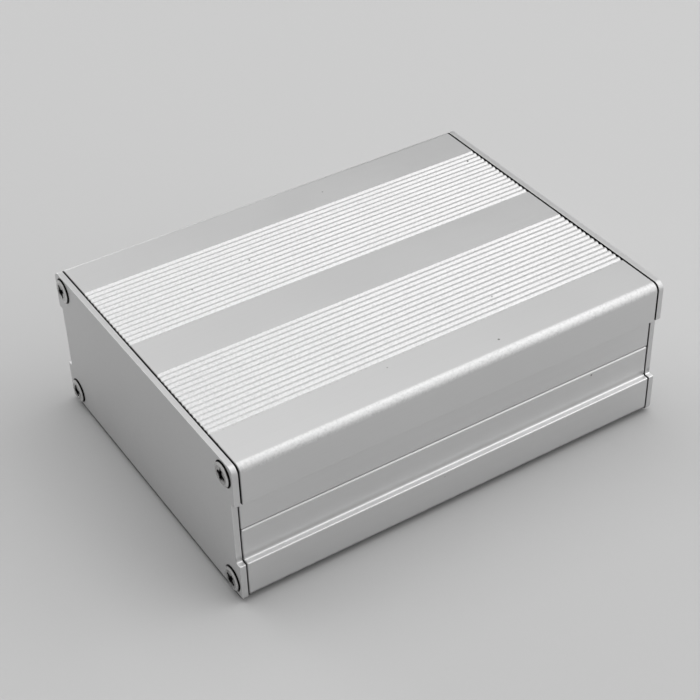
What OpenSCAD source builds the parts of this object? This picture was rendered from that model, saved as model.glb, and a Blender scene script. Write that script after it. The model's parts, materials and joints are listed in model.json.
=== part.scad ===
// Extruded aluminium enclosure for a circuit board.
// Two long shells, each cut from one extrusion, lap together along a seam halfway up the sides.
// A flat end plate with four countersunk screws closes each end.
// Millimetres. X runs along the extrusion, Y across it, Z up. The origin is the middle of the base.

/* [Shells] */
// Length of both shells along the extrusion
shell_l = 100; // [60:0.5:220]
// Width across the flanges
case_w = 76.5; // [72:0.1:130]
// Height from the base to the top face
case_h = 33.8; // [31:0.1:70]
// Height of the seam between the shells
seam_z = 16.9; // [15.6:0.1:18.2]
// Thickness of the side walls and ledges
wall_t = 1.4; // [1.1:0.1:1.6]
// Thickness of the top, measured beside the grooves
top_t = 2; // [1.5:0.1:2.4]
// Thickness of the base
base_t = 1.7; // [1.3:0.1:2.4]

/* [Side profile] */
// Height of the wide flange at the top of the upper shell
flange_h = 9.3; // [8.2:0.1:10.2]
// Height of the wide foot at the bottom of the lower shell
foot_h = 9.1; // [8.2:0.1:10.2]
// Depth of the waist between flange and foot
waist_in = 1.4; // [0.8:0.1:1.8]
// Radius of the two long edges of the top
corner_r = 1.8; // [0.8:0.1:2.6]
// Radius of the two long edges of the base
base_r = 1.5; // [0.3:0.1:1.6]
// Radius of the outer edges of flange and foot at the waist
ledge_r = 0.25; // [0.1:0.05:0.5]
// Radius of the inside corners where the waist meets flange and foot
waist_r = 0.3; // [0.1:0.05:0.5]
// Radius of the corners inside the case
inner_r = 0.7; // [0.3:0.1:1]

/* [Grooved bands] */
// Number of V grooves in each of the two bands
groove_n = 15; // [5:1:16]
// Spacing of the grooves
groove_pitch = 1.45; // [1.25:0.01:1.5]
// Width of a groove at the surface
groove_w = 1.05; // [0.6:0.05:1.15]
// Depth of a groove
groove_d = 0.35; // [0.2:0.05:0.6]
// Distance of each band's middle from the centre line
band_y = 16.3; // [13:0.1:18]

/* [Lap joint] */
// Gap between the outer edges of the shells along the seam
seam_gap = 0.18; // [0.05:0.01:0.3]
// Bevel on both outer edges of the seam
seam_bevel = 0.26; // [0.1:0.02:0.4]
// Height of the tongue above the seam
tongue_h = 1.8; // [1:0.1:2.2]
// Thickness of the tongue
tongue_t = 1; // [0.8:0.05:1.3]
// Clearance between the tongue and the wall it laps
tongue_clear = 0.15; // [0.05:0.05:0.3]
// Depth below the seam that the tongue's root reaches
root_h = 2.2; // [1.6:0.1:2.6]

/* [Board slots] */
// Height of a board slot, for a board 1.6 mm thick
slot_h = 1.8; // [1.7:0.1:2]
// Distance of each slot's middle from the seam
slot_off = 4.9; // [4.7:0.1:5.1]
// Thickness of the ribs on both sides of a slot
rib_t = 1; // [0.8:0.05:1.1]
// Reach of the ribs from the side wall
rib_in = 1.8; // [1:0.1:2.6]

/* [End plates] */
// Radius of the two lower corners of an end plate
plate_r = 1; // [0.3:0.1:1.6]
// Thickness of an end plate
plate_t = 1.3; // [1:0.1:3]
// Gap between a plate and the sawn ends of the shells
plate_gap = 0.25; // [0.05:0.05:0.3]
// Diameter of the screw holes in the plates
plate_hole_d = 3.3; // [3.1:0.1:3.5]
// Diameter of the 90 degree countersinks at the plates' outer faces
sink_d = 5.8; // [5.4:0.1:6]

/* [Screws] */
// Thread diameter of the screws
screw_d = 3; // [2.5:0.1:3]
// Length of the screws from the edge of the head to the tip
screw_l = 8; // [6:1:12]
// Diameter of the head
head_d = 5.2; // [5:0.1:5.3]
// How far the edge of the head stands proud of the plate
head_stand = 0.35; // [0.1:0.05:0.6]
// Height of the crown above the edge of the head
crown_h = 0.2; // [0.1:0.05:0.4]
// Diameter of the crown's flat top
crown_d = 4; // [3.6:0.1:4.8]
// Clearance between the screw's cone and the countersink, measured along the radius
sink_clear = 0.06; // [0.02:0.01:0.1]
// Span of the cross recess
recess_w = 3; // [2.6:0.1:3.4]
// Width of one arm of the cross recess
recess_arm = 0.85; // [0.7:0.05:1]
// Depth of the cross recess
recess_h = 1.3; // [1:0.1:1.4]
// Span of the cross recess at its floor
recess_floor_w = 1.3; // [1.1:0.1:1.6]
// Length of the tapered tip of the shank
tip_h = 0.8; // [0.4:0.1:1]
// Distance of the screws from the side of the case
screw_in_y = 3.6; // [3.5:0.1:4.2]
// Distance of the screws from the top and from the base
screw_in_z = 3.3; // [3.2:0.1:3.7]
// Radial clearance between a screw and its channel
channel_clear = 0.05; // [0.02:0.01:0.1]
// Wall of the screw channels
channel_t = 1.2; // [0.9:0.05:1.3]
// Width of the slit along each screw channel
channel_slit = 1.2; // [0.8:0.1:1.5]

/* [Hidden] */
$fn = 64;
// How far solids that join run into each other
eps = 0.01;
// How far a cut runs past the surface that it opens
over = 1;
silver = [0.80, 0.81, 0.82];
steel = [0.62, 0.62, 0.63];

half_w = case_w / 2;
waist_y = half_w - waist_in;
step_z = case_h - flange_h;
inner_y = half_w - wall_t;
inner_waist_y = waist_y - wall_t;
screw_y = half_w - screw_in_y;
channel_r = screw_d / 2 + channel_clear;
sink_depth = (sink_d - plate_hole_d) / 2;
cone_bottom = -(sink_d / 2 - sink_clear - screw_d / 2);
cone_top = -(sink_d / 2 - sink_clear - head_d / 2);
crown_top = head_stand + crown_h;
plate_x = shell_l / 2 + plate_gap;
// Angle at which each screw stopped when it was driven home
screw_turn = [12, 58, 35, 74];

// What is cut from a square corner at the origin to round it; the body lies towards -x and -y.
module corner_cut(r) {
    difference() {
        translate([-r, -r])
            square(r + eps);
        translate([-r, -r])
            circle(r);
    }
}

// What fills an inside corner at the origin to round it; the body lies below and towards -x.
module corner_fill(r) {
    difference() {
        translate([-eps, -eps])
            square(r + eps);
        translate([r, r])
            circle(r);
    }
}

// A block of the section, symmetrical about the centre line, with its corners rounded.
module block(half, low, high, r_low, r_high) {
    difference() {
        translate([-half, low])
            square([2 * half, high - low]);
        for (side = [0, 1])
            mirror([side, 0]) {
                translate([half, high])
                    corner_cut(r_high);
                translate([half, low])
                    mirror([0, 1])
                        corner_cut(r_low);
            }
    }
}

// Outline of the closed case: wide flange, waist and wide foot; r_low rounds its lower corners.
module case_outline(r_low) {
    block(half_w, step_z, case_h, ledge_r, corner_r);
    block(waist_y, foot_h - wall_t, step_z + wall_t, ledge_r, ledge_r);
    block(half_w, 0, foot_h, r_low, ledge_r);
    for (side = [0, 1])
        mirror([side, 0]) {
            translate([waist_y, foot_h])
                corner_fill(waist_r);
            translate([waist_y, step_z])
                mirror([0, 1])
                    corner_fill(waist_r);
        }
}

// Space inside the side walls, top and base.
module case_hollow() {
    block(inner_y, step_z + wall_t, case_h - top_t, inner_r, inner_r);
    block(inner_waist_y, base_t, case_h - top_t, inner_r, inner_r);
    block(inner_y, base_t, foot_h - wall_t, inner_r, inner_r);
}

// V grooves of the two bands in the top face.
module band_grooves() {
    for (side = [0, 1])
        mirror([side, 0])
            for (i = [0 : groove_n - 1])
                translate([band_y + (i - (groove_n - 1) / 2) * groove_pitch, case_h])
                    polygon([
                        [-groove_w / 2, 0],
                        [0, -groove_d],
                        [groove_w / 2, 0],
                        [groove_w / 2, over],
                        [-groove_w / 2, over]
                    ]);
}

// Two ribs on each side wall, with a slot for the board's edge between them.
module board_ribs(z) {
    for (side = [0, 1])
        mirror([side, 0])
            for (up = [-1, 1])
                translate([inner_waist_y - rib_in, z + up * (slot_h + rib_t) / 2 - rib_t / 2])
                    square([rib_in + wall_t / 2, rib_t]);
}

// Solid part of the two screw channels at height z.
module channel_bosses(z) {
    for (side = [-1, 1])
        translate([side * screw_y, z])
            circle(channel_r + channel_t);
}

// Bores of the two screw channels, each open to the inside through a slit.
module channel_bores(z, slit_angle) {
    for (side = [0, 1])
        mirror([side, 0])
            translate([screw_y, z]) {
                circle(channel_r);
                rotate(slit_angle)
                    translate([0, -channel_slit / 2])
                        square([channel_r + channel_t + over, channel_slit]);
            }
}

// Bevel along the outer edges of the seam; up is 1 above the seam and -1 below it.
module seam_bevels(up) {
    edge_z = seam_z + up * seam_gap / 2;
    for (side = [-1, 1])
        translate([side * waist_y, edge_z])
            polygon([
                [side * eps, -up * eps],
                [-side * seam_bevel, -up * eps],
                [side * eps, up * seam_bevel]
            ]);
}

// Section of the upper shell.
module top_section() {
    difference() {
        union() {
            difference() {
                intersection() {
                    case_outline(base_r);
                    translate([-case_w, seam_z + seam_gap / 2])
                        square([2 * case_w, case_h]);
                }
                case_hollow();
            }
            channel_bosses(case_h - screw_in_z);
            board_ribs(seam_z + slot_off);
        }
        channel_bores(case_h - screw_in_z, 225);
        band_grooves();
        seam_bevels(1);
    }
}

// Tongues of the lower shell, which lap the inside of the upper shell's walls.
module tongues() {
    tongue_y = inner_waist_y - tongue_clear - tongue_t;
    for (side = [0, 1])
        mirror([side, 0]) {
            translate([tongue_y, seam_z - root_h])
                square([tongue_t, root_h + tongue_h]);
            translate([tongue_y, seam_z - root_h])
                square([tongue_t + tongue_clear + wall_t / 2, root_h - seam_gap / 2]);
        }
}

// Section of the lower shell.
module bottom_section() {
    difference() {
        union() {
            difference() {
                intersection() {
                    case_outline(base_r);
                    translate([-case_w, -over])
                        square([2 * case_w, seam_z - seam_gap / 2 + over]);
                }
                case_hollow();
            }
            channel_bosses(screw_in_z);
            board_ribs(seam_z - slot_off);
            tongues();
        }
        channel_bores(screw_in_z, 135);
        seam_bevels(-1);
    }
}

// A length of extrusion along X, centred on the origin.
module extrude_x(length) {
    rotate([90, 0, 90])
        linear_extrude(height = length, center = true)
            children();
}

// The four screw places on the plate at the +X end, each turned by its own angle, with Z outwards.
module at_screws() {
    for (i = [0 : 3])
        translate([0, (i % 2 == 0 ? -1 : 1) * screw_y, i < 2 ? case_h - screw_in_z : screw_in_z])
            rotate([screw_turn[i], 0, 0])
                translate([plate_x + plate_t, 0, 0])
                    rotate([0, 90, 0])
                        children();
}

// Countersunk hole, cut down from the plate's outer face at z = 0.
module screw_hole() {
    translate([0, 0, -plate_t - over])
        cylinder(h = plate_t + 2 * over, d = plate_hole_d);
    translate([0, 0, -sink_depth])
        cylinder(h = sink_depth + eps, d1 = plate_hole_d, d2 = sink_d + 2 * eps);
}

// End plate with its outer face towards +X.
module end_plate() {
    difference() {
        translate([plate_x + plate_t / 2, 0, 0])
            extrude_x(plate_t)
                case_outline(plate_r);
        at_screws()
            screw_hole();
    }
}

// Cross recess with sloping ends, cut down from the crown of the head at the origin.
module cross_recess() {
    for (turn = [0, 90])
        rotate([90, 0, turn])
            linear_extrude(height = recess_arm, center = true)
                polygon([
                    [-recess_floor_w / 2, -recess_h],
                    [recess_floor_w / 2, -recess_h],
                    [recess_w / 2, 0],
                    [recess_w / 2, over],
                    [-recess_w / 2, over],
                    [-recess_w / 2, 0]
                ]);
}

// Half section of the head: a cone under a short straight edge and a low crown.
module head_profile() {
    polygon([
        [0, cone_bottom],
        [screw_d / 2, cone_bottom],
        [head_d / 2, cone_top],
        [head_d / 2, head_stand],
        [crown_d / 2, crown_top],
        [0, crown_top]
    ]);
}

// Countersunk screw along Z, shank downwards, with the plate's outer face at z = 0.
module countersunk_screw() {
    tip_z = head_stand - screw_l;
    difference() {
        union() {
            rotate_extrude()
                head_profile();
            translate([0, 0, tip_z + tip_h])
                cylinder(h = cone_bottom - tip_z - tip_h + eps, d = screw_d);
            translate([0, 0, tip_z])
                cylinder(h = tip_h + eps, d1 = screw_d - tip_h, d2 = screw_d);
        }
        translate([0, 0, crown_top])
            cross_recess();
    }
}

module top_shell() {
    color(silver)
        extrude_x(shell_l)
            top_section();
}

module bottom_shell() {
    color(silver)
        extrude_x(shell_l)
            bottom_section();
}

module front_plate() {
    color(silver)
        mirror([1, 0, 0])
            end_plate();
}

module rear_plate() {
    color(silver)
        end_plate();
}

module front_screws() {
    color(steel)
        mirror([1, 0, 0])
            at_screws()
                countersunk_screw();
}

module rear_screws() {
    color(steel)
        at_screws()
            countersunk_screw();
}

top_shell();
bottom_shell();
front_plate();
rear_plate();
front_screws();
rear_screws();
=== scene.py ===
"""Looks of a split extruded aluminium enclosure: two lapping shells, two end plates and eight screws.

Lengths are in metres. X runs along the extrusion, Y across it and Z up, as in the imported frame.
"""

from __future__ import annotations

import json
import logging
import math
from dataclasses import dataclass, field
from enum import Enum
from typing import Sequence

import bmesh
import bpy
import numpy as np
from mathutils import Matrix, Vector
from mathutils.geometry import tessellate_polygon

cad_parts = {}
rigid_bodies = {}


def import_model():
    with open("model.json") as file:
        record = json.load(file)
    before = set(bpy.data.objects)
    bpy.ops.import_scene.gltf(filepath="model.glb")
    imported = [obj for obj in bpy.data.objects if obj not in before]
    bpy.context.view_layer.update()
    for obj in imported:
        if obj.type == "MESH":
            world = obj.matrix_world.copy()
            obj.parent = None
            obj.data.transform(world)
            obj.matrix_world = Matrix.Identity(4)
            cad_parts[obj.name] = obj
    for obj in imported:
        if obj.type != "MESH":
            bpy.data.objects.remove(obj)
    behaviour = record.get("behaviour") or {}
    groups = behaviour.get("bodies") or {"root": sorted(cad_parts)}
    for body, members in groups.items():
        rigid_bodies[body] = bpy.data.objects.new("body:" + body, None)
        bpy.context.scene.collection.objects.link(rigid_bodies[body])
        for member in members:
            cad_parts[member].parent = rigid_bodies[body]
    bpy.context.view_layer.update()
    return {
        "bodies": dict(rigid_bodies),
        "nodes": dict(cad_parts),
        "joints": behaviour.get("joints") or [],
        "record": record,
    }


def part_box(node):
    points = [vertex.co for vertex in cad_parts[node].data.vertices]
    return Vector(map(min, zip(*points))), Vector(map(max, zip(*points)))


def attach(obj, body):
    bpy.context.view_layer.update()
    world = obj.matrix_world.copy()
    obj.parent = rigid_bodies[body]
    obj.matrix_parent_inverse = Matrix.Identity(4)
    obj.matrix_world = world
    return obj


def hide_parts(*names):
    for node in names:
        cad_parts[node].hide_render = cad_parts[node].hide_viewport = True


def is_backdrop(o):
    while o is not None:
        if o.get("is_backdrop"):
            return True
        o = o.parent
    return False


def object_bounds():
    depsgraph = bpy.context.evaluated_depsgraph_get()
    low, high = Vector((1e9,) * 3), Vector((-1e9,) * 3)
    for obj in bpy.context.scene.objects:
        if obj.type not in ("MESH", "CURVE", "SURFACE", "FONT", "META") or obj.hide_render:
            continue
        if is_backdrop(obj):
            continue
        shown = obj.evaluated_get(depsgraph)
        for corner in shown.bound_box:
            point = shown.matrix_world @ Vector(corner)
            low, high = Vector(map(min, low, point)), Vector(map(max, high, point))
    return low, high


LOG = logging.getLogger("enclosure")
MM = 0.001

# Names of the masks that a piece's points carry: its rounded outward corners, and recesses painted dark as
# shade.
EDGE = "rubbed_edge"
RECESS_SHADE = "recess_shade"

# Height from which the painted shade in the gap at a plate is full, just under the upper shell's flanges, and
# the share of it that stays below them.
FLANGE_FOOT = 24.4 * MM
LOWER_GAP_SHADE = 0.45


class End(Enum):
    """The two closed ends of the case, by the sign of x."""

    FRONT = -1
    REAR = 1


class Slot(Enum):
    """Material slots of the record."""

    SHELL = "shell_aluminium"
    PLATE = "plate_aluminium"
    SCREW = "plated_steel"


# ---------------------------------------------------------------- shapes


@dataclass
class Section:
    """A closed line in the section plane, with its outward normals and a mask of its rounded corners."""

    points: np.ndarray
    normals: np.ndarray
    edge: np.ndarray

    @property
    def recess_darkness(self) -> np.ndarray:
        """Share of the painted shade that a recess or gap gets at each point: all of it from the flanges up,
        less below.
        """
        return np.where(self.points[:, 1] > FLANGE_FOOT, 1.0, LOWER_GAP_SHADE)

    @classmethod
    def rounded(cls, loop: np.ndarray, radius: float, steps: int = 3, limit: float = 15.0) -> Section:
        """Rounds every corner of a loop that turns by more than a limit.

        A corner P between the unit directions u0 and u1 becomes the quadratic curve
        (1-s)^2 (P - d u0) + 2 s (1-s) P + s^2 (P + d u1), with the setback d = radius * tan(turn / 2),
        held under 0.45 of the shorter side. Its normals turn evenly from the first side's to the second's.
        A softer corner is one of an arc's facets: it keeps its point, and takes the mean of the two
        sides' normals, weighted by their lengths, so that a flat stays flat up to where the arc starts.

        Args:
            loop: Ordered corners (y, z), anticlockwise round solid metal and clockwise round a hole.
            radius: Radius of the rounding.
            steps: Facets on each rounded corner.
            limit: Turn in degrees above which a corner is rounded.

        Returns:
            The rounded section.
        """
        before = loop - np.roll(loop, 1, axis=0)
        after = np.roll(loop, -1, axis=0) - loop
        l0 = np.linalg.norm(before, axis=1)
        l1 = np.linalg.norm(after, axis=1)
        u0 = before / l0[:, None]
        u1 = after / l1[:, None]
        turn = np.arctan2(u0[:, 0] * u1[:, 1] - u0[:, 1] * u1[:, 0], (u0 * u1).sum(1))
        sharp = np.abs(turn) > math.radians(limit)
        setback = np.minimum.reduce([radius * np.tan(np.abs(turn) / 2), 0.45 * l0, 0.45 * l1])
        setback = np.where(sharp, setback, 0.0)[:, None]
        n0 = np.stack([u0[:, 1], -u0[:, 0]], 1)
        n1 = np.stack([u1[:, 1], -u1[:, 0]], 1)
        s = np.linspace(0.0, 1.0, steps + 1)[None, :, None]
        start, mid, stop = (p[:, None, :] for p in (loop - u0 * setback, loop, loop + u1 * setback))
        curve = (1 - s) ** 2 * start + 2 * s * (1 - s) * mid + s**2 * stop
        normal = (1 - s) * n0[:, None, :] + s * n1[:, None, :]
        soft = (l0[:, None] * n0 + l1[:, None] * n1)[:, None, :]
        normal = np.where(sharp[:, None, None], normal, soft)
        normal /= np.linalg.norm(normal, axis=2, keepdims=True)
        inner = ((s > 0) & (s < 1))[:, :, 0]
        edge = np.where(sharp[:, None] & (turn[:, None] > 0) & inner, 1.0, 0.0)
        keep = sharp[:, None] | (np.arange(steps + 1)[None, :] == 0)
        return cls(curve[keep], normal[keep], edge[keep])


def end_loops(node: bpy.types.Object, end: End) -> list[np.ndarray]:
    """Reads the border lines of a node's flat end face.

    The triangles in the end plane cover the face. A side that only one of them uses lies on the border,
    and the border sides are chained into closed loops.

    Args:
        node: CAD node, whose mesh is loose triangles.
        end: Which end of it to read.

    Returns:
        Loops of ordered points (y, z), anticlockwise round metal as seen from +X, the longest first.
    """
    mesh = node.data
    mesh.calc_loop_triangles()
    co = np.empty(len(mesh.vertices) * 3, np.float32)
    mesh.vertices.foreach_get("co", co)
    co = co.reshape(-1, 3).astype(float)
    corners = np.empty(len(mesh.loop_triangles) * 3, np.int32)
    mesh.loop_triangles.foreach_get("vertices", corners)
    grid = np.round(co * 1e7).astype(np.int64)
    _, first, same = np.unique(grid, axis=0, return_index=True, return_inverse=True)
    triangles = same.reshape(-1)[corners].reshape(-1, 3)
    points = co[first]
    plane = end.value * (points[:, 0] * end.value).max()
    flat = triangles[(np.abs(points[triangles][:, :, 0] - plane) < 1e-6).all(1)]
    sides = np.concatenate([flat[:, [0, 1]], flat[:, [1, 2]], flat[:, [2, 0]]])
    code = sides[:, 0] * len(points) + sides[:, 1]
    back = sides[:, 1] * len(points) + sides[:, 0]
    following = dict(sides[~np.isin(code, back)].tolist())
    loops = []
    while following:
        here = next(iter(following))
        chain = []
        while here in following:
            chain.append(here)
            here = following.pop(here)
        loops.append(points[chain][:, 1:][:: end.value])
    return sorted(loops, key=len, reverse=True)


@dataclass
class Path:
    """How a section line is carried along X: the height, inward offset and tilt of each of its rings.

    A tilt of 0 is a wall along X, and plus or minus a quarter turn is an end face that looks along +X or -X.
    Its mask marks the rings that lie in a recess or in the gap between two parts; they are painted dark as
    shade.
    """

    x: np.ndarray
    inset: np.ndarray
    tilt: np.ndarray
    recess_shade: np.ndarray

    @classmethod
    def bar(cls, low: float, high: float, radius: float, steps: int = 3) -> Path:
        """A straight wall with a quarter round at both ends.

        At the tilt a, a ring of a rim stands radius * (1 - sin a) short of the end, and is moved inwards by
        radius * (1 - cos a).

        Args:
            low: Lowest x.
            high: Highest x.
            radius: Radius of the rims.
            steps: Facets round a rim.

        Returns:
            The path, from low to high.
        """
        tilt = np.linspace(math.pi / 2, 0.0, steps + 1)
        short, inset = radius * (1 - np.sin(tilt)), radius * (1 - np.cos(tilt))
        x = np.concatenate([low + short, (high - short)[::-1]])
        inset = np.concatenate([inset, inset[::-1]])
        return cls(x, inset, np.concatenate([-tilt, tilt[::-1]]), np.zeros(len(x)))

    @classmethod
    def countersunk(
        cls, end: End, inner: float, outer: float, sink: float, radius: float, steps: int = 3
    ) -> Path:
        """A hole that widens to a cone of 90 degrees at the plate's outer face.

        From the outer face at x = outer the offset is sink - depth down to the depth sink, and 0 below it.
        The outer rim is an arc from the face's tilt to the cone's, whose centre lies radius below the face.

        Args:
            end: Which end of the case the plate closes.
            inner: Distance of the plate's inner face from the middle.
            outer: Distance of its outer face.
            sink: Depth of the cone.
            radius: Radius of the outer rim.
            steps: Facets round the rim.

        Returns:
            The path, from low x to high x.
        """
        tilt = np.linspace(math.pi / 4, math.pi / 2, steps + 1)
        short = radius * (1 - np.sin(tilt))
        widen = sink + radius * math.tan(math.pi / 8) - radius * np.cos(tilt)
        x = np.concatenate([[inner, outer - sink, outer - sink], outer - short])
        inset = np.concatenate([[0.0, 0.0, 0.0], widen])
        tilt = np.concatenate([[0.0, 0.0, math.pi / 4], tilt])
        # The bore, the cone and the start of the rim are painted dark as shade.
        recess_shade = np.concatenate([[1.0, 1.0, 1.0], [1.0], np.zeros(steps)])
        order = slice(None, None, end.value)
        return cls(x[order] * end.value, inset[order], tilt[order] * end.value, recess_shade[order])

    def with_rim_shade(self, end: End, shares: Sequence[float]) -> Path:
        """Marks the rings of one rim to be painted dark, as shade in the gap between a plate and a shell.

        Args:
            end: The end that the rim is at.
            shares: How dark the painted shade on its rings is, from the outermost ring inwards.

        Returns:
            The path itself.
        """
        self.recess_shade[:: -end.value][: len(shares)] = shares
        return self


def prism(name: str, loops: Sequence[tuple[Section, Path]]) -> bpy.types.Object:
    """Makes a bar by carrying each line of a section along X.

    The ring i of a line is its points less inset_i times its normals, at x_i. Its own normals are cos(tilt_i)
    times the section's plus sin(tilt_i) along X.

    Args:
        name: Name of the new piece.
        loops: The outer line, then the lines of any holes, each with its path.

    Returns:
        The new object, at the origin.
    """
    verts, normals, edges, recess_shades, faces, first_ring, last_ring = [], [], [], [], [], [], []
    base = 0
    for line, path in loops:
        n, m = len(line.points), len(path.x)
        flat = line.points[None] - path.inset[:, None, None] * line.normals[None]
        x = np.broadcast_to(path.x[:, None, None], (m, n, 1))
        verts.append(np.concatenate([x, flat], 2).reshape(-1, 3))
        out = np.cos(path.tilt)[:, None, None] * line.normals[None]
        along = np.broadcast_to(np.sin(path.tilt)[:, None, None], (m, n, 1))
        normals.append(np.concatenate([along, out], 2).reshape(-1, 3))
        wall = line.edge[None] * np.cos(path.tilt)[:, None]
        rim = np.abs(np.sin(2 * path.tilt)) * (1 - path.recess_shade)
        edges.append(np.maximum(wall, rim[:, None]).reshape(-1))
        # Painted shade of the recesses and of the gaps between parts, per point.
        recess_shades.append((path.recess_shade[:, None] * line.recess_darkness[None]).reshape(-1))
        ring = base + np.arange(m * n).reshape(m, n)
        ahead = np.roll(ring, -1, axis=1)
        faces += np.stack([ring[:-1], ahead[:-1], ahead[1:], ring[1:]], 2).reshape(-1, 4).tolist()
        first_ring.append(ring[0])
        last_ring.append(ring[-1])
        base += m * n
    faces += cap(verts, first_ring, flip=True) + cap(verts, last_ring, flip=False)
    mesh = bpy.data.meshes.new(name)
    mesh.from_pydata(np.concatenate(verts).tolist(), [], faces)
    for title, values in ((EDGE, edges), (RECESS_SHADE, recess_shades)):
        mask = mesh.attributes.new(title, "FLOAT", "POINT")
        mask.data.foreach_set("value", np.concatenate(values).astype(np.float32))
    mesh.shade_smooth()
    mesh.normals_split_custom_set_from_vertices(np.concatenate(normals).tolist())
    mesh.validate()
    return linked(name, mesh)


def cap(verts: Sequence[np.ndarray], rings: Sequence[np.ndarray], flip: bool) -> list[list[int]]:
    """Closes one end of a bar.

    Args:
        verts: Points of each loop's surface.
        rings: Point numbers of each loop's last ring.
        flip: True at the low end, where the face looks the other way.

    Returns:
        Faces: a single one where there are no holes, and triangles otherwise.
    """
    if len(rings) == 1:
        face = rings[0].tolist()
        return [face[::-1] if flip else face]
    points = np.concatenate(verts)
    numbers = np.concatenate(rings)
    outlines = [[Vector((*points[i][1:], 0.0)) for i in ring] for ring in rings]
    triangles = np.array(tessellate_polygon(outlines))
    p = points[numbers[triangles]][:, :, 1:]
    area = np.cross(p[:, 1] - p[:, 0], p[:, 2] - p[:, 0])
    turned = (area < 0) != flip
    triangles[turned] = triangles[turned][:, ::-1]
    return numbers[triangles].tolist()


def linked(name: str, mesh: bpy.types.Mesh) -> bpy.types.Object:
    """Puts a mesh into the scene as an object at the origin."""
    piece = bpy.data.objects.new(name, mesh)
    bpy.context.scene.collection.objects.link(piece)
    return piece


# ---------------------------------------------------------------- node trees


@dataclass
class Graph:
    """A node tree, with short ways to add nodes and join them."""

    tree: bpy.types.NodeTree

    def add(
        self, kind: str, inputs: dict[str | int, object] | None = None, **settings: object
    ) -> bpy.types.Node:
        """Adds a node.

        Args:
            kind: Blender's name of the node type, without the ShaderNode in front.
            inputs: Values or sockets for its inputs.
            settings: Properties of the node.

        Returns:
            The node.
        """
        node = self.tree.nodes.new("ShaderNode" + kind)
        for key, value in settings.items():
            setattr(node, key, value)
        for key, value in (inputs or {}).items():
            self.feed(node, key, value)
        return node

    def feed(self, node: bpy.types.Node, key: str | int, value: object) -> None:
        """Joins a socket to an input, or sets the input's value."""
        if isinstance(value, bpy.types.NodeSocket):
            self.tree.links.new(value, node.inputs[key])
        else:
            node.inputs[key].default_value = value

    def math(self, operation: str, a: object, b: object = 0.0, clamp: bool = False) -> bpy.types.NodeSocket:
        """Result of a Math node."""
        return self.add("Math", {0: a, 1: b}, operation=operation, use_clamp=clamp).outputs[0]

    def noise(
        self, vector: object, scale: object, detail: float = 2.0, roughness: float = 0.5
    ) -> bpy.types.NodeSocket:
        """Value of a noise pattern."""
        inputs = {"Vector": vector, "Scale": scale, "Detail": detail, "Roughness": roughness}
        return self.add("TexNoise", inputs).outputs["Fac"]

    def band(
        self, value: object, low: float, high: float, to_low: float = 0.0, to_high: float = 1.0
    ) -> bpy.types.NodeSocket:
        """A value taken smoothly from one range to another."""
        inputs = {0: value, 1: low, 2: high, 3: to_low, 4: to_high}
        return self.add("MapRange", inputs, interpolation_type="SMOOTHSTEP").outputs[0]

    def blend(self, factor: object, a: object, b: object) -> bpy.types.NodeSocket:
        """Mix of two colours."""
        return self.add("Mix", {0: factor, 6: a, 7: b}, data_type="RGBA").outputs[2]


class Effect:
    """A shader node group with named inputs and outputs, which is built once and then shared."""

    title = "effect"
    takes: dict[str, tuple[str, float]] = {}
    gives: dict[str, str] = {}

    def group(self) -> bpy.types.NodeTree:
        """Returns the shared group, and builds it the first time."""
        found = bpy.data.node_groups.get(self.title)
        if found:
            return found
        tree = bpy.data.node_groups.new(self.title, "ShaderNodeTree")
        for name, (kind, value) in self.takes.items():
            socket = tree.interface.new_socket(name, in_out="INPUT", socket_type="NodeSocket" + kind)
            if kind == "Float":
                socket.default_value = value
        for name, kind in self.gives.items():
            tree.interface.new_socket(name, in_out="OUTPUT", socket_type="NodeSocket" + kind)
        source, sink = tree.nodes.new("NodeGroupInput"), tree.nodes.new("NodeGroupOutput")
        graph = Graph(tree)
        made = self.build(graph, {s.name: s for s in source.outputs if s.name})
        for name, socket in made.items():
            tree.links.new(socket, sink.inputs[name])
        return tree

    def build(self, graph: Graph, given: dict[str, bpy.types.NodeSocket]) -> dict[str, bpy.types.NodeSocket]:
        """Makes the nodes between the group's inputs and outputs."""
        raise NotImplementedError

    def placed(self, graph: Graph, **inputs: object) -> dict[str, bpy.types.NodeSocket]:
        """Puts the group into a material.

        Args:
            graph: The material's nodes.
            inputs: Values or sockets by input name, with _ for each space.

        Returns:
            The group's outputs by name.
        """
        node = graph.tree.nodes.new("ShaderNodeGroup")
        node.node_tree = self.group()
        for key, value in inputs.items():
            graph.feed(node, key.replace("_", " "), value)
        return {s.name: s for s in node.outputs}


class DieLines(Effect):
    """Fine straight lines that the die draws along an extrusion, and slow changes of shade across it."""

    title = "die_lines"
    takes = {"Vector": ("Vector", 0.0), "Fineness": ("Float", 2400.0), "Waver": ("Float", 5.0)}
    gives = {"Lines": "Float", "Bands": "Float"}

    def build(self, graph: Graph, given: dict[str, bpy.types.NodeSocket]) -> dict[str, bpy.types.NodeSocket]:
        """Noise stretched along X: across it at Fineness waves a metre, and along it at Waver."""
        waves = {0: given["Waver"], 1: given["Fineness"], 2: given["Fineness"]}
        scale = graph.add("CombineXYZ", waves).outputs[0]
        fine = graph.add("Mapping", {"Vector": given["Vector"], "Scale": scale}).outputs[0]
        wide = graph.add("VectorMath", {0: fine, 1: (0.4, 0.12, 0.12)}, operation="MULTIPLY").outputs[0]
        return {"Lines": graph.noise(fine, 1.0, 3.0, 0.6), "Bands": graph.noise(wide, 1.0, 2.0, 0.5)}


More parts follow.
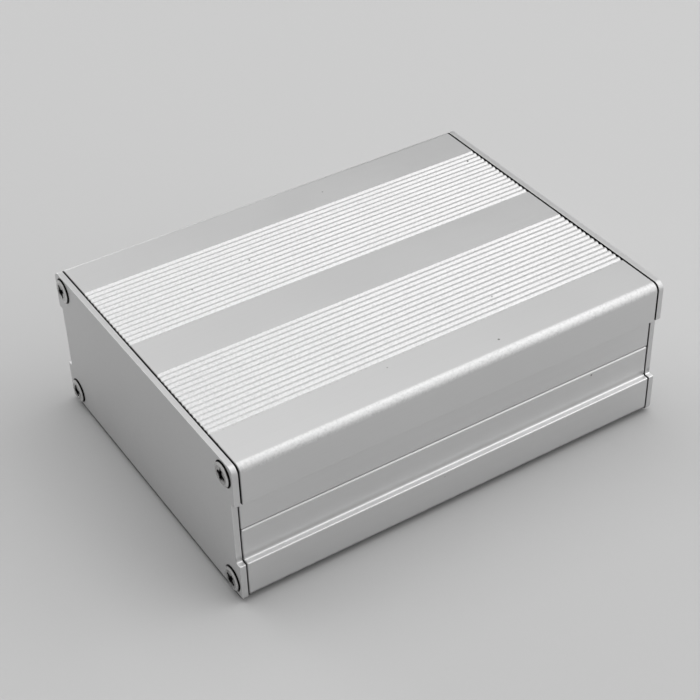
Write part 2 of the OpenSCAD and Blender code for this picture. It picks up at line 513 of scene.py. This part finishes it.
class MattGrain(Effect):
    """The even etched grain of an anodised face, and the faint clouds of its dye and handling."""

    title = "matt_grain"
    takes = {"Vector": ("Vector", 0.0), "Fineness": ("Float", 5000.0)}
    gives = {"Grain": "Float", "Clouds": "Float"}

    def build(self, graph: Graph, given: dict[str, bpy.types.NodeSocket]) -> dict[str, bpy.types.NodeSocket]:
        """Fine noise at Fineness waves a metre, and slow noise a few centimetres wide."""
        fine = graph.noise(given["Vector"], given["Fineness"])
        clouds = graph.noise(given["Vector"], 42.0, 3.0, 0.55)
        return {"Grain": fine, "Clouds": graph.band(clouds, 0.3, 0.7)}


class RubbedEdge(Effect):
    """Where handling has rubbed the outward corners bright, in uneven patches."""

    title = "rubbed_edge"
    takes = {"Vector": ("Vector", 0.0), "Mask": ("Float", 0.0)}
    gives = {"Rub": "Float"}

    def build(self, graph: Graph, given: dict[str, bpy.types.NodeSocket]) -> dict[str, bpy.types.NodeSocket]:
        """The mask of the corners, broken up by noise."""
        patches = graph.band(graph.noise(given["Vector"], 700.0, 3.0, 0.6), 0.35, 0.62, 0.25, 1.0)
        return {"Rub": graph.math("MULTIPLY", given["Mask"], patches, clamp=True)}


class Specks(Effect):
    """Sparse specks of dust and tiny dents, each a soft dot at a random place."""

    title = "specks"
    takes = {"Vector": ("Vector", 0.0), "Density": ("Float", 260.0), "Share": ("Float", 0.06)}
    gives = {"Speck": "Float"}

    def build(self, graph: Graph, given: dict[str, bpy.types.NodeSocket]) -> dict[str, bpy.types.NodeSocket]:
        """Dots at the centres of Voronoi cells, kept in the share of cells whose random number is low."""
        cells = graph.add("TexVoronoi", {"Vector": given["Vector"], "Scale": given["Density"]})
        dot = graph.band(cells.outputs["Distance"], 0.03, 0.09, 1.0, 0.0)
        number = graph.add("SeparateColor", {0: cells.outputs["Color"]}).outputs[0]
        chosen = graph.math("LESS_THAN", number, given["Share"])
        return {"Speck": graph.math("MULTIPLY", dot, chosen)}


class WaistLightAndShade(Effect):
    """Painted highlight on the two narrow steps at the waist, and painted shade in the inner corner above
    them.
    """

    title = "waist_light_and_shade"
    takes = {
        "Vector": ("Vector", 0.0),
        "Across": ("Float", 0.03675),
        "Low": ("Float", 0.0090),
        "High": ("Float", 0.0093),
    }
    gives = {"LedgeHighlight": "Float", "Shade": "Float"}

    def build(self, graph: Graph, given: dict[str, bpy.types.NodeSocket]) -> dict[str, bpy.types.NodeSocket]:
        """The painted highlight is full outside Across and between the heights Low and High, and soft at its
        borders.

        Shade is a line of painted shade in the inner corner, from High to 1.8 mm over it.
        """
        xyz = graph.add("SeparateXYZ", {0: given["Vector"]}).outputs
        out = graph.math("SUBTRACT", graph.math("ABSOLUTE", xyz[1]), given["Across"])
        under = graph.math("SUBTRACT", xyz[2], given["Low"])
        over = graph.math("SUBTRACT", given["High"], xyz[2])
        inside = graph.math("MINIMUM", out, graph.math("MINIMUM", under, over))
        wander = graph.band(graph.noise(given["Vector"], 500.0, 3.0, 0.6), 0.3, 0.7, 0.85, 1.0)
        rise = graph.band(over, 0.0, -0.45 * MM)
        fall = graph.band(over, -0.5 * MM, -1.8 * MM, 1.0, 0.0)
        outside = graph.band(out, -0.2 * MM, 0.0)
        shade = graph.math("MULTIPLY", graph.math("MULTIPLY", rise, fall), outside)
        ledge_highlight = graph.math("MULTIPLY", graph.band(inside, -0.02 * MM, 0.08 * MM), wander)
        return {"LedgeHighlight": ledge_highlight, "Shade": shade}


class PatchyHighlightAndShade(Effect):
    """Painted highlight and painted shade in small patches on the ribs and rounded upper corners, so that
    their shine is uneven.
    """

    title = "patchy_highlight_and_shade"
    takes = {
        "Vector": ("Vector", 0.0),
        "Middle": ("Float", 0.0163),
        "Half": ("Float", 0.0110),
        "Corner": ("Float", 0.0364),
        "Above": ("Float", 0.0320),
    }
    gives = {"Bright": "Float", "ShadePatches": "Float"}

    def build(self, graph: Graph, given: dict[str, bpy.types.NodeSocket]) -> dict[str, bpy.types.NodeSocket]:
        """Patches of noise half a millimetre wide, kept over Above.

        The ribs are where | |y| - Middle | < Half, and the rounded corners where |y| > Corner.
        """
        xyz = graph.add("SeparateXYZ", {0: given["Vector"]}).outputs
        y = graph.math("ABSOLUTE", xyz[1])
        apart = graph.math("ABSOLUTE", graph.math("SUBTRACT", y, given["Middle"]))
        ribs = graph.math("MULTIPLY", graph.math("LESS_THAN", apart, given["Half"]), 0.9)
        corner = graph.band(graph.math("SUBTRACT", y, given["Corner"]), 0.0, 0.4 * MM)
        place = graph.math("MAXIMUM", ribs, corner)
        over = graph.band(graph.math("SUBTRACT", xyz[2], given["Above"]), 0.0, 0.5 * MM)
        place = graph.math("MULTIPLY", place, over)
        noise = graph.noise(given["Vector"], 1900.0, 2.0, 0.6)
        bright = graph.math("MULTIPLY", place, graph.band(noise, 0.50, 0.66))
        shade_patches = graph.math("MULTIPLY", place, graph.band(noise, 0.50, 0.34))
        return {"Bright": bright, "ShadePatches": shade_patches}


class FootShade(Effect):
    """Painted shade along the lowest edge of the case, where it meets whatever it stands on."""

    title = "foot_shade"
    takes = {"Vector": ("Vector", 0.0), "Height": ("Float", 0.0016)}
    gives = {"DarkShade": "Float"}

    def build(self, graph: Graph, given: dict[str, bpy.types.NodeSocket]) -> dict[str, bpy.types.NodeSocket]:
        """Full below a quarter of Height and none above it, with an edge that noise moves up and down."""
        z = graph.add("SeparateXYZ", {0: given["Vector"]}).outputs[2]
        wander = graph.math("SUBTRACT", graph.noise(given["Vector"], 600.0, 3.0, 0.6), 0.5)
        part = graph.math("DIVIDE", z, given["Height"])
        part = graph.math("ADD", part, graph.math("MULTIPLY", wander, 0.3))
        return {"DarkShade": graph.band(part, 0.25, 1.0, 1.0, 0.0)}


class HeadShade(Effect):
    """Painted shade in the cross recess and on the ring at the foot of a screw head, and a painted highlight
    on its chamfer.
    """

    title = "head_shade"
    takes = {
        "Vector": ("Vector", 0.0),
        "Crown": ("Float", 0.0521),
        "Across": ("Float", 0.03465),
        "Middle": ("Float", 0.0169),
        "Apart": ("Float", 0.0136),
    }
    gives = {"DarkShade": "Float", "ChamferHighlight": "Float"}

    def build(self, graph: Graph, given: dict[str, bpy.types.NodeSocket]) -> dict[str, bpy.types.NodeSocket]:
        """Darkens what lies deep or far from a screw's axis.

        The depth under the crown is Crown - |x|, and the radius is the length of
        (|y| - Across, |z - Middle| - Apart).

        The recess is what lies deeper than 0.1 mm within 1.6 mm of the axis, and painted shade lies round its
        middle too. The ring is the side of the head, 0.2 mm down and deeper. The painted highlight is on the
        head's chamfer.
        """
        xyz = graph.add("SeparateXYZ", {0: given["Vector"]}).outputs
        y = graph.math("SUBTRACT", graph.math("ABSOLUTE", xyz[1]), given["Across"])
        z = graph.math("ABSOLUTE", graph.math("SUBTRACT", xyz[2], given["Middle"]))
        flat = graph.add("CombineXYZ", {0: y, 1: graph.math("SUBTRACT", z, given["Apart"])}).outputs[0]
        radius = graph.add("VectorMath", {0: flat}, operation="LENGTH").outputs["Value"]
        depth = graph.math("SUBTRACT", given["Crown"], graph.math("ABSOLUTE", xyz[0]))
        near = graph.band(radius, 1.6 * MM, 1.75 * MM, 1.0, 0.0)
        recess = graph.math("MULTIPLY", graph.band(depth, 0.03 * MM, 0.16 * MM), near)
        ring = graph.band(depth, 0.20 * MM, 0.34 * MM)
        core = graph.band(radius, 0.75 * MM, 1.35 * MM, 0.9, 0.0)
        high = graph.band(depth, 0.16 * MM, 0.24 * MM, 1.0, 0.0)
        chamfer = graph.math("MULTIPLY", graph.band(radius, 1.9 * MM, 2.1 * MM), high)
        painted_shade = graph.math("MAXIMUM", graph.math("MAXIMUM", recess, core), ring)
        return {"DarkShade": painted_shade, "ChamferHighlight": chamfer}


# ---------------------------------------------------------------- finishes


@dataclass(frozen=True)
class AnodisedAluminium:
    """Clear anodised aluminium, satin, with the lines of its making.

    The four colours after the first are the rubbed skin of worn edges, a painted highlight, dust specks
    together with painted shade, and a near black for painted shade. A share is how far its colour covers the
    first. The other numbers say how much a pattern changes the shade or roughness.
    """

    name: str
    colour: tuple[float, float, float] = (0.69, 0.69, 0.69)
    rubbed: tuple[float, float, float] = (0.80, 0.80, 0.80)
    # Colour of the painted highlights.
    highlight_grey: tuple[float, float, float] = (0.95, 0.95, 0.95)
    # Colour of the dust specks, and of patches of painted shade.
    grime_and_shade: tuple[float, float, float] = (0.16, 0.16, 0.16)
    # Near black of the painted shade in gaps, recesses and along the foot.
    painted_shade: tuple[float, float, float] = (0.015, 0.015, 0.015)
    rough: float = 0.50
    lines: float = 0.05
    line_fineness: float = 2400.0
    bump: float = 0.05
    patch_share: float = 0.12
    foot: float = 1.6 * MM
    dark: float = 0.86
    cloud_swing: float = 0.025
    rub_share: float = 0.6
    shade_share: float = 0.4
    speck_share: float = 0.8
    painted_shade_share: float = 0.96
    line_rough: float = 0.10
    cloud_rough: float = 0.03
    rub_smooth: float = 0.08
    speck_rough: float = 0.3
    skin: float = 0.04 * MM

    def build(self) -> bpy.types.Material:
        """Makes the material."""
        material = bpy.data.materials.new(self.name)
        material.use_nodes = True
        graph = Graph(material.node_tree)
        shader = material.node_tree.nodes["Principled BSDF"]
        place = graph.add("TexCoord").outputs["Object"]
        mask = graph.add("Attribute", attribute_name=EDGE).outputs["Fac"]
        die = DieLines().placed(graph, Vector=place, Fineness=self.line_fineness)
        grain = MattGrain().placed(graph, Vector=place)
        rub = RubbedEdge().placed(graph, Vector=place, Mask=mask)["Rub"]
        speck = Specks().placed(graph, Vector=place)["Speck"]
        recess_shade = graph.add("Attribute", attribute_name=RECESS_SHADE).outputs["Fac"]
        shade = graph.math("MULTIPLY_ADD", die["Lines"], self.lines)
        graph.feed(shade.node, 2, graph.math("MULTIPLY", grain["Clouds"], self.cloud_swing))
        dark = tuple(c * self.dark for c in self.colour)
        body = graph.blend(graph.math("ADD", shade, 0.0, clamp=True), (*self.colour, 1), (*dark, 1))
        body = graph.blend(graph.math("MULTIPLY", rub, self.rub_share), body, (*self.rubbed, 1))
        shine = PatchyHighlightAndShade().placed(graph, Vector=place)
        # Patches of painted highlight and painted shade on the ribs and rounded upper corners.
        body = graph.blend(graph.math("MULTIPLY", shine["Bright"], self.patch_share), body, (*self.highlight_grey, 1))
        body = graph.blend(graph.math("MULTIPLY", shine["ShadePatches"], self.patch_share), body, (*self.grime_and_shade, 1))
        waist = WaistLightAndShade().placed(graph, Vector=place)
        # Painted highlight on the waist steps, then painted shade in the corner above them.
        body = graph.blend(waist["LedgeHighlight"], body, (*self.highlight_grey, 1))
        body = graph.blend(graph.math("MULTIPLY", waist["Shade"], self.shade_share), body, (*self.grime_and_shade, 1))
        body = graph.blend(graph.math("MULTIPLY", speck, self.speck_share), body, (*self.grime_and_shade, 1))
        # Near black painted over the recesses, the gaps at the plates and the lowest edge, as painted shade.
        painted_shade = graph.math("MAXIMUM", recess_shade, FootShade().placed(graph, Vector=place, Height=self.foot)["DarkShade"])
        body = graph.blend(graph.math("MULTIPLY", painted_shade, self.painted_shade_share), body, (*self.painted_shade, 1))
        graph.feed(shader, "Base Color", body)
        shader.inputs["Metallic"].default_value = 1.0
        rough = graph.math("MULTIPLY_ADD", die["Lines"], self.line_rough)
        graph.feed(rough.node, 2, self.rough - self.line_rough / 2)
        rough = graph.math("ADD", rough, graph.math("MULTIPLY", grain["Clouds"], self.cloud_rough))
        rough = graph.math("SUBTRACT", rough, graph.math("MULTIPLY", rub, self.rub_smooth))
        rough = graph.math("ADD", rough, graph.math("MULTIPLY", speck, self.speck_rough), clamp=True)
        graph.feed(shader, "Roughness", rough)
        fine = graph.math("MULTIPLY", grain["Grain"], 0.4)
        height = graph.math("ADD", graph.math("MULTIPLY", die["Lines"], 0.6), fine)
        height = graph.math("SUBTRACT", height, graph.math("MULTIPLY", speck, 2.0))
        bump = graph.add("Bump", {"Strength": self.bump, "Distance": self.skin, "Height": height})
        graph.feed(shader, "Normal", bump.outputs[0])
        return material


@dataclass(frozen=True)
class PlatedSteel:
    """Bright nickel plate on a steel screw, with painted shade in the recess and at the foot of the head, and
    a painted highlight on the chamfer.
    """

    name: str = "nickel_plate"
    colour: tuple[float, float, float] = (0.50, 0.497, 0.493)
    tarnish: tuple[float, float, float] = (0.18, 0.178, 0.175)
    # Colour of the painted highlight on the head's chamfer.
    bright: tuple[float, float, float] = (0.64, 0.64, 0.636)
    # Near black of the painted shade in the recess and round the foot of the head.
    painted_shade: tuple[float, float, float] = (0.012, 0.012, 0.012)
    rough: float = 0.20
    tarnish_share: float = 0.7
    tarnish_rough: float = 0.16
    painted_shade_rough: float = 0.4
    bump: float = 0.08
    skin: float = 0.03 * MM

    def build(self) -> bpy.types.Material:
        """Makes the material."""
        material = bpy.data.materials.new(self.name)
        material.use_nodes = True
        graph = Graph(material.node_tree)
        shader = material.node_tree.nodes["Principled BSDF"]
        place = graph.add("TexCoord").outputs["Object"]
        grain = MattGrain().placed(graph, Vector=place, Fineness=9000.0)
        head = HeadShade().placed(graph, Vector=place)
        painted_shade = head["DarkShade"]
        spots = graph.band(graph.noise(place, 900.0, 4.0, 0.6), 0.38, 0.68)
        spotted = graph.math("MULTIPLY", spots, self.tarnish_share)
        body = graph.blend(spotted, (*self.colour, 1), (*self.tarnish, 1))
        # Painted highlight on the chamfer, then painted shade in the recess and round the foot of the head.
        body = graph.blend(head["ChamferHighlight"], body, (*self.bright, 1))
        body = graph.blend(painted_shade, body, (*self.painted_shade, 1))
        graph.feed(shader, "Base Color", body)
        shader.inputs["Metallic"].default_value = 1.0
        rough = graph.math("MULTIPLY_ADD", spots, self.tarnish_rough)
        graph.feed(rough.node, 2, self.rough)
        rough = graph.math("ADD", rough, graph.math("MULTIPLY", painted_shade, self.painted_shade_rough), clamp=True)
        graph.feed(shader, "Roughness", rough)
        bump = graph.add("Bump", {"Strength": self.bump, "Distance": self.skin, "Height": grain["Grain"]})
        graph.feed(shader, "Normal", bump.outputs[0])
        return material


@dataclass(frozen=True)
class PaperSweep:
    """The matt pale floor."""

    name: str = "paper_sweep"
    colour: tuple[float, float, float] = (0.60, 0.60, 0.60)
    tooth_shade: float = 0.985
    rough: float = 0.85
    sheen: float = 0.15

    def build(self) -> bpy.types.Material:
        """Makes the material."""
        material = bpy.data.materials.new(self.name)
        material.use_nodes = True
        graph = Graph(material.node_tree)
        shader = material.node_tree.nodes["Principled BSDF"]
        place = graph.add("TexCoord").outputs["Object"]
        tooth = MattGrain().placed(graph, Vector=place, Fineness=1500.0)
        dark = tuple(c * self.tooth_shade for c in self.colour)
        graph.feed(shader, "Base Color", graph.blend(tooth["Grain"], (*self.colour, 1), (*dark, 1)))
        shader.inputs["Roughness"].default_value = self.rough
        shader.inputs["Specular IOR Level"].default_value = self.sheen
        return material


# ---------------------------------------------------------------- sub-assemblies


@dataclass
class Shells:
    """The upper and the lower shell, each one length of extrusion."""

    nodes: tuple[str, ...] = ("top_shell", "bottom_shell")
    corner: float = 0.08 * MM
    rim: float = 0.30 * MM
    # How dark the painted shade is on the rim rings at each end, inside the gap at a plate.
    rim_shade: tuple[float, ...] = (1.0, 1.0, 0.5)

    def build(self, frame: dict, finish: bpy.types.Material) -> list[bpy.types.Object]:
        """Makes both shells.

        Args:
            frame: The loaded frame.
            finish: Their material.

        Returns:
            The pieces.
        """
        made = []
        for node in self.nodes:
            low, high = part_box(node)
            path = Path.bar(low.x, high.x, self.rim)
            for end in End:
                path.with_rim_shade(end, self.rim_shade)
            lines = end_loops(frame["nodes"][node], End.REAR)
            loops = [(Section.rounded(line, self.corner), path) for line in lines]
            piece = prism(node + "_extrusion", loops)
            piece.data.materials.append(finish)
            made.append(settle(piece, node))
        return made


@dataclass
class EndPlates:
    """The two flat plates that close the case."""

    nodes: dict[End, str] = field(default_factory=lambda: {End.FRONT: "front_plate", End.REAR: "rear_plate"})
    corner: float = 0.12 * MM
    rim: float = 0.12 * MM
    sink: float = 1.25 * MM
    hole_rim: float = 0.06 * MM
    # How dark the painted shade is on the rim rings of the inner face, inside the gap at the shells.
    rim_shade: tuple[float, ...] = (1.0, 1.0)

    def build(self, frame: dict, finish: bpy.types.Material) -> list[bpy.types.Object]:
        """Makes both plates.

        Args:
            frame: The loaded frame.
            finish: Their material.

        Returns:
            The pieces.
        """
        made = []
        for end, node in self.nodes.items():
            low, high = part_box(node)
            inner, outer = sorted((abs(low.x), abs(high.x)))
            opposite = End(-end.value)
            outline = Section.rounded(end_loops(frame["nodes"][node], end)[0], self.corner)
            border = Path.bar(low.x, high.x, self.rim).with_rim_shade(opposite, self.rim_shade)
            loops = [(outline, border)]
            sunk = Path.countersunk(end, inner, outer, self.sink, self.hole_rim)
            for hole in end_loops(frame["nodes"][node], opposite)[1:]:
                loops.append((Section.rounded(hole, self.corner), sunk))
            piece = prism(node + "_sheet", loops)
            piece.data.materials.append(finish)
            made.append(settle(piece, node))
        return made


@dataclass
class Screws:
    """The countersunk screws at both ends."""

    nodes: tuple[str, ...] = ("front_screws", "rear_screws")
    rounding: float = 0.06 * MM
    smooth_up_to: float = math.radians(32)

    def build(self, frame: dict, finish: bpy.types.Material) -> list[bpy.types.Object]:
        """Makes both sets.

        Args:
            frame: The loaded frame.
            finish: Their material.

        Returns:
            The pieces.
        """
        made = []
        for node in self.nodes:
            piece = merged_copy(frame["nodes"][node], node + "_plated", self.smooth_up_to)
            bevel = piece.modifiers.new("rounding", "BEVEL")
            bevel.width = self.rounding
            bevel.segments = 2
            bevel.limit_method = "ANGLE"
            bevel.angle_limit = self.smooth_up_to
            bevel.harden_normals = True
            piece.data.materials.clear()
            piece.data.materials.append(finish)
            made.append(settle(piece, node))
        return made


def merged_copy(node: bpy.types.Object, name: str, smooth_up_to: float) -> bpy.types.Object:
    """Copies a CAD node's mesh with its loose triangles joined and its flat faces made whole.

    Args:
        node: CAD node.
        name: Name of the copy.
        smooth_up_to: Angle between two faces up to which they are shaded as one.

    Returns:
        The copy.
    """
    mesh = bpy.data.meshes.new(name)
    joined = bmesh.new()
    joined.from_mesh(node.data)
    bmesh.ops.remove_doubles(joined, verts=joined.verts[:], dist=1e-6)
    flat = math.radians(0.5)
    bmesh.ops.dissolve_limit(joined, angle_limit=flat, verts=joined.verts[:], edges=joined.edges[:])
    joined.to_mesh(mesh)
    joined.free()
    mesh.shade_smooth()
    mesh.set_sharp_from_angle(angle=smooth_up_to)
    return linked(name, mesh)


def settle(piece: bpy.types.Object, node: str) -> bpy.types.Object:
    """Lets a piece stand for its CAD node and ride on the case."""
    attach(piece, "root")
    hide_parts(node)
    LOG.info("%s stands for %s: %d faces", piece.name, node, len(piece.data.polygons))
    return piece


# ---------------------------------------------------------------- studio


@dataclass(frozen=True)
class Viewpoint:
    """Where the camera stands: angles in degrees round the middle of the base, lengths in metres."""

    azimuth: float = -32.3
    elevation: float = 38.05
    roll: float = -1.3
    distance: float = 0.3635
    aside: float = 1.1 * MM
    above: float = 11.2 * MM
    lens: float = 84.0
    shift: tuple[float, float] = (-0.02, 0.0)

    def build(self) -> bpy.types.Object:
        """Makes the camera and gives it to the scene."""
        a, e, r = (math.radians(x) for x in (self.azimuth, self.elevation, self.roll))
        back = Vector((math.sin(a) * math.cos(e), -math.cos(a) * math.cos(e), math.sin(e)))
        level = Vector((math.cos(a), math.sin(a), 0.0))
        rise = back.cross(level)
        right = level * math.cos(r) + rise * math.sin(r)
        up = rise * math.cos(r) - level * math.sin(r)
        data = bpy.data.cameras.new("camera")
        data.lens = self.lens
        data.sensor_width = 36.0
        data.shift_x, data.shift_y = self.shift
        data.clip_start, data.clip_end = 0.01, 50.0
        camera = bpy.data.objects.new("camera", data)
        bpy.context.scene.collection.objects.link(camera)
        camera.matrix_world = Matrix.Translation(
            right * self.aside + up * self.above + back * self.distance
        ) @ Matrix((right, up, back)).transposed().to_4x4()
        bpy.context.scene.camera = camera
        return camera


@dataclass(frozen=True)
class SoftBox:
    """A soft light that looks at the case from a direction, of an even glow."""

    name: str
    azimuth: float
    elevation: float
    away: float
    width: float
    height: float
    glow: float

    def build(self) -> None:
        """Makes the lamp. A flat lamp of radiance L and area A gives the power pi L A."""
        a, e = math.radians(self.azimuth), math.radians(self.elevation)
        towards = Vector((math.cos(e) * math.cos(a), math.cos(e) * math.sin(a), math.sin(e)))
        data = bpy.data.lights.new(self.name, "AREA")
        data.shape = "RECTANGLE"
        data.size, data.size_y = self.width, self.height
        data.energy = math.pi * self.glow * self.width * self.height
        lamp = bpy.data.objects.new(self.name, data)
        lamp.location = towards * self.away
        lamp.rotation_euler = towards.to_track_quat("Z", "Y").to_euler()
        bpy.context.scene.collection.objects.link(lamp)


@dataclass
class Studio:
    """Pale floor, even surroundings and soft boxes above and round the case; the front end is left in shade.

    The floor lies a little under the case, so that its lowest edge has a dark line under it.
    """

    surround: float = 0.25
    floor_half: float = 8.0
    floor_drop: float = 0.8 * MM
    boxes: tuple[SoftBox, ...] = (
        SoftBox("top_box", 90.0, 76.0, 1.0, 1.2, 1.0, 0.95),
        SoftBox("rear_top_box", 0.0, 70.0, 1.0, 1.0, 1.2, 0.65),
        SoftBox("side_box", -30.0, 28.0, 1.0, 1.6, 1.0, 1.05),
        SoftBox("high_side_box", -45.0, 50.0, 1.0, 1.0, 0.8, 0.35),
        SoftBox("back_box", 125.0, 35.0, 1.1, 0.9, 0.6, 0.8),
        SoftBox("low_back_box", 95.0, 12.0, 1.1, 0.9, 0.4, 2.3),
    )

    def build(self, paper: bpy.types.Material) -> None:
        """Makes the floor, the world and the lamps."""
        s, z = self.floor_half, -self.floor_drop
        mesh = bpy.data.meshes.new("floor")
        mesh.from_pydata([(-s, -s, z), (s, -s, z), (s, s, z), (-s, s, z)], [], [(0, 1, 2, 3)])
        mesh.materials.append(paper)
        linked("floor", mesh)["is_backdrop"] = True
        world = bpy.data.worlds.new("surround")
        world.use_nodes = True
        world.node_tree.nodes["Background"].inputs["Color"].default_value = (self.surround,) * 3 + (1,)
        bpy.context.scene.world = world
        for box in self.boxes:
            box.build()
        bpy.context.scene.view_settings.view_transform = "Standard"


def corners() -> list[list[float]]:
    """The shown object's lowest and highest corner, as plain numbers."""
    return [[round(float(c), 7) for c in corner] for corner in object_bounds()]


def main() -> None:
    """Builds the enclosure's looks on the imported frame, then the studio."""
    logging.basicConfig(level=logging.INFO, format="%(name)s: %(message)s")
    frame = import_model()
    Viewpoint().build()
    shell = AnodisedAluminium("anodised_extrusion").build()
    sheet = AnodisedAluminium(
        "anodised_sheet",
        colour=(0.66, 0.66, 0.66),
        lines=0.02,
        line_fineness=900.0,
        patch_share=0.0,
        foot=0.7 * MM,
    ).build()
    plate = PlatedSteel().build()
    Shells().build(frame, shell)
    EndPlates().build(frame, sheet)
    Screws().build(frame, plate)
    Studio().build(PaperSweep().build())


if __name__ == "__main__":
    main()
